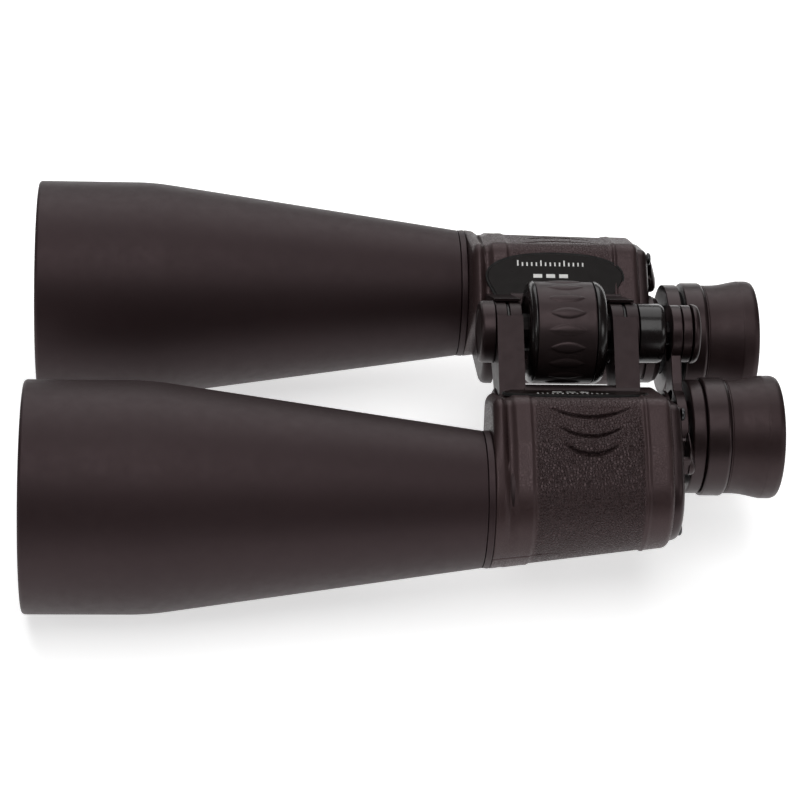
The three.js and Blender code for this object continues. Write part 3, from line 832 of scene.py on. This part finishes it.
def plate_marks(top):
    """A plain scale: a row of fine ticks, every fifth one taller, over three short bars. No lettering."""
    marks = []
    for k in range(15):
        up, height = (15.2, 1.5) if k % 5 else (15.6, 2.3)
        marks.append(tick(184.6 + 1.8 * k, up, 0.55, height, top))
    return marks + [tick(192.2 + 5.0 * k, 10.4, 3.4, 1.5, top) for k in range(3)]


def name_plate():
    """The plate, a near-black sheet of painted shadow for the gap round it, and its printed scale."""
    foot, top = -0.5, 0.7
    plate = slab(plate_outline(0.0), foot, top, 0.3)
    # painted shadow: a near-black sheet a little wider than the plate, under it, stands in for the shade in
    # the gap round the plate
    gap = slab(plate_outline(0.7), foot, 0.4)
    return all_of(PLATE_BLACK, plate) + all_of(PAINTED_GAP_SHADOW, gap) + all_of(PRINT_WHITE, *plate_marks(top + 0.03))


pair("plate", name_plate, "name_plate", "gloss_black")


# ---- rear cover ----
COVER_REAR = 236.0
SCREW_POSTS = ((70.9, OBJECTIVE[1] - 6.2), (47.6, OBJECTIVE[1] + 28.6), (46.0, OBJECTIVE[1] - 9.4))


def cover_plate():
    """The cover stands in from the rubber's rounded rear edge and has a rounded rim of its own."""
    rounding = (
        (231.0, 2.3), (232.6, 2.3), (233.8, 2.4), (234.7, 2.7), (235.4, 3.3), (235.85, 4.2),
        (COVER_REAR, 5.2),
    )
    return lofted([wrapped_at(station, lobes(station, less), 220) for station, less in rounding])


def strap_lug():
    """A wedge-shaped bar on two posts, with a slot for the strap between it and the cover."""
    foot = OBJECTIVE[1] + 13.4
    sections = []
    # towards the rear the bar gets narrower and its upper side comes down
    for station, less, drop in (
        (239.0, 0.2, 0.0), (239.2, 0.0, 0.2), (240.2, 0.1, 3.0), (241.0, 0.5, 5.2), (241.5, 1.2, 6.2),
    ):
        circles = [
            (51.6, foot, 3.2 - less), (58.6, foot, 3.2 - less), (52.4, foot + 7.5 - drop, 2.6 - less),
            (56.6, foot + 7.0 - drop, 2.6 - less),
        ]
        sections.append(wrapped_at(station, circles, 72))
    posts = []
    for x in (49.6, 60.0):
        outline = [(x - 0.9, foot - 2), (x + 0.9, foot - 2), (x + 0.9, foot + 5), (x - 0.9, foot + 5)]
        posts.append(bevelled_prism(outline, COVER_REAR - 1.0, 239.4, 0.3))
    return [lofted(sections), *posts]


def rear_cover(guide):
    """The cover with the strap lug and the guide that the eyepiece tube slides in."""
    return all_of(SATIN_BLACK, cover_plate(), spun(guide, EYE, 128), *strap_lug())


GUIDE_FOOT = [(13.6, 234.5), (17.0, 234.5)]
RIGHT_GUIDE = GUIDE_FOOT + [(17.0, 237.6, 0.3), (16.0, 239.6, 0.4), (14.6, 240.4, 0.3), (13.6, 240.4)]
LEFT_GUIDE = GUIDE_FOOT + [(17.0, 235.8), (16.4, 236.3), (13.6, 236.3)]
finished("right_back_cover", rear_cover(RIGHT_GUIDE), "right_half", ["right_rear_cover"], "satin_black")
finished("left_back_cover", mirrored(rear_cover(LEFT_GUIDE)), "left_half", ["left_rear_cover"], "satin_black")

SCREW_TOP = 237.5  # station of the head's flat top
SCREW_EDGE = ((2.1, 237.3), (2.4, 236.9), (2.4, 236.3))  # radius and station down the side of the head


def cross_screw(post):
    """A pan head with a cross recess."""
    shape = bmesh.new()
    top_r, sides, width, reach, depth = 1.7, 32, 0.24, 1.15, 0.55
    turns = [2 * math.pi * k / sides for k in range(sides)]
    rim = chain(shape, [(top_r * math.cos(a), 0, top_r * math.sin(a)) for a in turns])
    # a quarter of the cross, turned round four times
    cross = []
    for k in range(4):
        for x, z in ((width, width), (width, reach), (-width, reach)):
            for _ in range(k):
                x, z = -z, x
            cross.append((x, 0, z))
    recess = chain(shape, cross)
    bmesh.ops.bridge_loops(shape, edges=rim + recess)
    floor = bmesh.ops.contextual_create(shape, geom=recess)["faces"]
    sunk = bmesh.ops.extrude_discrete_faces(shape, faces=floor)["faces"][0]
    bmesh.ops.translate(shape, verts=sunk.verts, vec=(0, depth, 0))
    bmesh.ops.bridge_loops(shape, edges=recess + list(sunk.edges))
    bmesh.ops.delete(shape, geom=[f for f in floor if f.is_valid], context="FACES_ONLY")
    outer = rim
    for radius, station in SCREW_EDGE:
        grown = bmesh.ops.extrude_edge_only(shape, edges=outer)["geom"]
        outer = [g for g in grown if isinstance(g, bmesh.types.BMEdge)]
        for v in (g for g in grown if isinstance(g, bmesh.types.BMVert)):
            length = math.hypot(v.co.x, v.co.z)
            v.co.x, v.co.z = v.co.x * radius / length, v.co.z * radius / length
            v.co.y = SCREW_TOP - station
    bmesh.ops.contextual_create(shape, geom=outer)
    clean(shape)
    bmesh.ops.translate(shape, verts=shape.verts, vec=(post[0], RIM_Y - SCREW_TOP, post[1]))
    return all_of(SCREW_BLACK, shape)


for number, post in enumerate(SCREW_POSTS, 1):
    pair(
        f"back_screw_{number}", lambda post=post: cross_screw(post), f"cover_screw_{number}", "steel",
        smooth=30,
    )


# ---- eyepieces ----
EYE_BODIES = ("right_ocular", "left_eyepiece")
RIGHT_FRONT, LEFT_FRONT = 249.1, 248.3  # where the ocular and its ring start on each side
TUBE_R = 13.5  # bore of what sits on the eyepiece tube
OCULAR_R = 18.9  # bore of what sits on the ocular
CUP_R, CUP_FRONT, CUP_REAR = 21.2, 257.3, 277.0


def eyecup():
    """A waisted rubber cup with a fine moulded line behind its front edge and a thick soft lip."""
    outside = [
        (OCULAR_R, CUP_FRONT), (CUP_R, CUP_FRONT, 0.12), (CUP_R, 257.75, 0.08), (21.05, 257.9),
        (CUP_R, 258.05, 0.08), (21.25, 263.4, 2.5), (22.8, 270.3, 1.5), (22.8, 270.6, 0.1),
        (22.95, 271.0, 0.3),
    ]
    lip = [(23.0, 275.6, 1.0), (22.2, CUP_REAR, 0.6), (19.4, CUP_REAR, 1.2), (17.6, 274.4, 1.0)]
    inside = [(17.0, 268.8), (OCULAR_R, 268.8)]
    return all_of(EYECUP_RUBBER, spun(outside + lip + inside, EYE, 128, 4))


pair("eyecup_rubber", eyecup, "eyecup", "eyecup_rubber", bodies=EYE_BODIES)


def eye_lens():
    front, rear = bulge(11.3, 261.5, 1.0, 8), bulge(11.3, 265.5, -1.6, 8)
    return all_of(LENS_COATED, spun(front + rear[::-1], EYE, 64))


pair("eye_glass", eye_lens, "eye_lens", "coated_glass", bodies=EYE_BODIES)


def ocular(front):
    """The shell that carries the eye lens, with a seat for it inside."""
    shell = [
        (TUBE_R, front), (18.6, front), (18.6, 267.6, 0.3), (17.4, 268.4, 0.3), (13.2, 268.4, 0.3),
        (12.4, 267.4), (11.7, 266.6, 0.1), (11.7, 261.2), (10.6, 261.2), (10.6, 258.4), (TUBE_R, 258.4),
    ]
    return all_of(MATT_BLACK, spun(shell, EYE, 96))


finished("right_ocular_shell", ocular(RIGHT_FRONT), "right_ocular", ["right_ocular"], "satin_black")
finished("left_ocular_shell", mirrored(ocular(LEFT_FRONT)), "left_eyepiece", ["left_ocular"], "satin_black")


def eyepiece_ring(front):
    """A plain ring with softened rims."""
    rear = CUP_FRONT - 0.15
    ring = [
        (OCULAR_R, front), (21.7, front, 0.2), (22.05, front + 0.5, 0.3), (22.1, 256.2, 0.5),
        (21.35, rear, 0.3), (OCULAR_R, rear),
    ]
    return all_of(SATIN_BLACK, spun(ring, EYE, 128))


def dioptre_marks():
    """A short scale on the underside of the dioptre ring. Its middle mark is the longest."""
    bars = []
    for k in range(-4, 5):
        bar = box_shape((0.35, 1.3 if k else 2.6, 0.12), (0, RIM_Y - 254.6, 22.09))
        turn = Matrix.Rotation(math.radians(152 - 9 * k), 4, "Y")
        bmesh.ops.transform(bar, matrix=turn, verts=bar.verts)
        bmesh.ops.translate(bar, verts=bar.verts, vec=(EYE[0], 0, EYE[1]))
        bars.append(bar)
    return all_of(PRINT_WHITE, *bars)


finished(
    "dioptre_ring_turned", eyepiece_ring(RIGHT_FRONT) + dioptre_marks(), "diopter_ring", ["diopter_ring"],
    "satin_black",
)
finished(
    "left_ring_turned", mirrored(eyepiece_ring(LEFT_FRONT)), "left_eyepiece", ["left_eyepiece_ring"],
    "satin_black",
)


def eyepiece_collar():
    front, rear = 242.8, 248.0
    collar = [
        (TUBE_R, front), (20.7, front, 0.25), (21.2, front + 0.5, 0.3), (21.2, rear - 0.5, 0.3),
        (20.7, rear, 0.15), (TUBE_R, rear),
    ]
    return all_of(SATIN_BLACK, spun(collar, EYE, 128))


finished(
    "left_collar_turned", mirrored(eyepiece_collar()), "left_eyepiece", ["left_eyepiece_collar"],
    "satin_black",
)


# ---- focusing bridge ----
SPINDLE_BORE = 4.6


def bridge_arm(front, rear, clamp_rear, clamp_r):
    """A cranked plate from the hub on the spindle to the clamp round the eyepiece tube."""
    hub = [(SPINDLE_BORE, front), (10.7, front, 0.4), (10.7, rear, 0.5), (SPINDLE_BORE, rear)]
    clamp = [(TUBE_R, front), (clamp_r, front, 0.35), (clamp_r, clamp_rear, 0.4), (TUBE_R, clamp_rear)]
    waist = (EYE[0] * 0.55, EYE[1] + (HINGE[1] - EYE[1]) * 0.45, 6.5)
    upper_end = (HINGE[0] + 5.2, HINGE[1] - 4.4, 4.6)
    lower_end = (EYE[0] - 6.8, EYE[1] + 9.8, 5.4)
    return all_of(
        SATIN_BLACK, spun(hub, HINGE, 96), spun(clamp, EYE, 128),
        wrapped_prism([upper_end, waist], 64, front, rear, 0.35),
        wrapped_prism([waist, lower_end], 64, front + 0.05, rear - 0.05, 0.35),
    )


def bridge_cap():
    """The domed cap on the end of the spindle, with a shallow dish in its face."""
    cap = [
        (0, 246.2), (11.1, 246.2, 0.3), (11.1, 247.6, 0.8), (10.2, 248.7, 0.5), (8.0, 249.2, 0.4),
        (7.6, 248.9), (0, 248.9),
    ]
    return all_of(SATIN_BLACK, spun(cap, HINGE, 96))


finished(
    "left_bridge_plate", mirrored(bridge_arm(238.0, 241.8, 241.8, 17.6)), "left_eyepiece",
    ["left_bridge_arm"], "satin_black",
)
finished(
    "right_bridge_plate", bridge_arm(242.1, 245.6, 247.4, 21.2), "right_eyepiece",
    ["right_bridge_arm"], "satin_black",
)
finished("bridge_cap_turned", bridge_cap(), "left_eyepiece", ["bridge_end_cap"], "satin_black")


# ---- centre hinge ----
def tripod_cap():
    """The knob that closes the tripod socket, and the stud behind it."""
    rear = 171.7
    knob = [
        (0, 166.6), (7.6, 166.6), (8.2, 166.2, 0.2), (10.7, 166.2, 0.6), (11.6, 167.2, 0.6),
        (11.6, rear, 0.3), (0, rear),
    ]
    stud = [(0, rear - 0.2), (2.3, rear - 0.2), (2.3, 180.0, 0.4), (0, 180.0)]
    return all_of(SATIN_BLACK, spun(knob, HINGE, 96)) + all_of(STEEL, spun(stud, HINGE, 32))


def spindle_sleeve():
    """The sleeve between the rear knuckles and the bridge. Its front end laps over the axle."""
    front, rear = 225.8, 236.0
    sleeve = [
        (SPINDLE_BORE, 227.8), (7.3, 227.8), (7.3, front), (11.1, front, 0.25), (11.1, 234.3, 0.9),
        (10.3, 235.5, 0.5), (9.0, rear, 0.3), (SPINDLE_BORE, rear),
    ]
    return all_of(GLOSS_BLACK, spun(sleeve, HINGE, 96, 4))


finished("tripod_cap_turned", tripod_cap(), "tripod_cap", ["tripod_cap"], "gloss_black")
finished("sleeve_turned", spindle_sleeve(), "left_half", ["spindle_sleeve"], "gloss_black")


# ---- focus wheel ----
WHEEL_FRONT, WHEEL_REAR, WHEEL_R = 183.8, 212.8, 19.2
GRIP_FRONT, GRIP_REAR = WHEEL_FRONT + 2.8, WHEEL_REAR - 4.2
PADS = 18
PAD_LENGTH, PAD_WIDTH, PAD_RISE = 13.6, 4.3, 0.55
WHEEL_BORE, DISH_R, DISH = 7.3, 13.0, 0.3  # each face is sunk a little round the axle


def wheel_core():
    """Two rounded rims with a seat for the grip band between them."""
    seat, seat_front, seat_rear = 16.2, GRIP_FRONT - 0.2, GRIP_REAR + 0.2
    front = [
        (WHEEL_BORE, WHEEL_FRONT + DISH), (DISH_R, WHEEL_FRONT + DISH), (DISH_R + 0.5, WHEEL_FRONT, 0.2),
        (16.9, WHEEL_FRONT, 1.6), (WHEEL_R, WHEEL_FRONT + 1.5, 1.6), (WHEEL_R, seat_front, 0.2),
        (seat, seat_front),
    ]
    rear = [
        (seat, seat_rear), (WHEEL_R, seat_rear, 0.3), (WHEEL_R, WHEEL_REAR - 2.0, 1.8),
        (17.0, WHEEL_REAR, 1.4), (DISH_R + 0.5, WHEEL_REAR, 0.2), (DISH_R, WHEEL_REAR - DISH),
        (WHEEL_BORE, WHEEL_REAR - DISH),
    ]
    return all_of(GLOSS_BLACK, spun(front + rear, HINGE, 144, 5))


def grip_band():
    """A rubber band with lens-shaped pads standing proud of it."""
    radius = WHEEL_R - 0.3
    rows, pitch = 56, 2 * math.pi / PADS
    inner = [(16.5, GRIP_REAR - 0.05), (16.5, GRIP_FRONT + 0.05)]
    rim = [(radius - 0.35, GRIP_FRONT + 0.05), (radius - 0.1, GRIP_FRONT + 0.15)]
    outer = [(radius, GRIP_FRONT + 0.45 + (GRIP_REAR - GRIP_FRONT - 0.9) * k / rows) for k in range(rows + 1)]
    close = [(radius - 0.1, GRIP_REAR - 0.15), (radius - 0.35, GRIP_REAR - 0.05)]
    shape = spun(inner + rim + outer + close, (0, 0), steps=PADS * 22)
    centre = RIM_Y - (GRIP_FRONT + GRIP_REAR) / 2
    for v in shape.verts:
        reach = math.hypot(v.co.x, v.co.z)
        if reach < radius - 0.01:
            continue
        u = (v.co.y - centre) / (PAD_LENGTH / 2)
        if abs(u) >= 1:
            continue
        turn = math.atan2(v.co.z, v.co.x) + pitch / 2
        across = (turn % pitch - pitch / 2) * radius
        half = PAD_WIDTH / 2 * (1 - u * u)
        if abs(across) < half:
            rise = PAD_RISE * (1 - (across / half) ** 2) ** 0.6 * (1 - u * u) ** 0.5
            v.co.x *= (reach + rise) / reach
            v.co.z *= (reach + rise) / reach
    bmesh.ops.translate(shape, verts=shape.verts, vec=(HINGE[0], 0, HINGE[1]))
    return all_of(GRIP_RUBBER, shape)


finished("wheel_core_turned", wheel_core(), "focus_wheel", ["focus_wheel_core"], "gloss_black")
finished("wheel_grip_band", grip_band(), "focus_wheel", ["focus_wheel_grip"], "grip_rubber", smooth=50)


# ---- CAD nodes that stay ----
for row in frame["record"]["subparts"]:
    part = frame["nodes"][row["node"]]
    part.data.materials.clear()
    part.data.materials.append(FINISH_OF_SLOT[row["material_slot"]])


# ---- studio ----
def soft_light(name, position, target, size, watts):
    lamp = bpy.data.objects.new(name, bpy.data.lights.new(name, "AREA"))
    bpy.context.scene.collection.objects.link(lamp)
    lamp.data.shape, lamp.data.size = "SQUARE", size
    lamp.data.energy = watts
    lamp.location = position
    lamp.rotation_mode = "QUATERNION"
    lamp.rotation_quaternion = (Vector(target) - Vector(position)).to_track_quat("-Z", "Y")


def studio():
    """A sheet of paper that glows a little, as on a light table, under large soft lights."""
    shape = bmesh.new()
    bmesh.ops.create_grid(shape, x_segments=8, y_segments=8, size=8)
    mesh = bpy.data.meshes.new("floor")
    shape.to_mesh(mesh)
    shape.free()
    floor = bpy.data.objects.new("floor", mesh)
    floor.location = (0, 0, -0.0004)
    bpy.context.scene.collection.objects.link(floor)
    pale = (0.9, 0.9, 0.9)
    paper = plain("lit_paper", pale, 0.85, Emission_Color=(1, 1, 1, 1), Emission_Strength=0.62)
    add_tone(paper, pale, 0.01, 0.5)
    mesh.materials.append(paper)
    world = bpy.data.worlds.new("studio")
    world.use_nodes = True
    sky = world.node_tree.nodes["Background"].inputs
    sky["Color"].default_value = (1, 0.99, 0.985, 1)
    sky["Strength"].default_value = 0.08
    bpy.context.scene.world = world
    soft_light("back_softbox", (1.1, 0.0, 1.2), (0, 0, 0), 1.8, 17)
    soft_light("top_softbox", (-0.5, 0.0, 1.5), (0, 0, 0), 1.1, 10)
    soft_light("front_strip", (-0.75, 1.25, 0.85), (0, 0, 0.05), 0.5, 2.4)
    soft_light("rear_strip", (-0.75, -1.25, 0.85), (0, 0, 0.05), 0.5, 2.4)
    bpy.context.scene.view_settings.view_transform = "Standard"


studio()
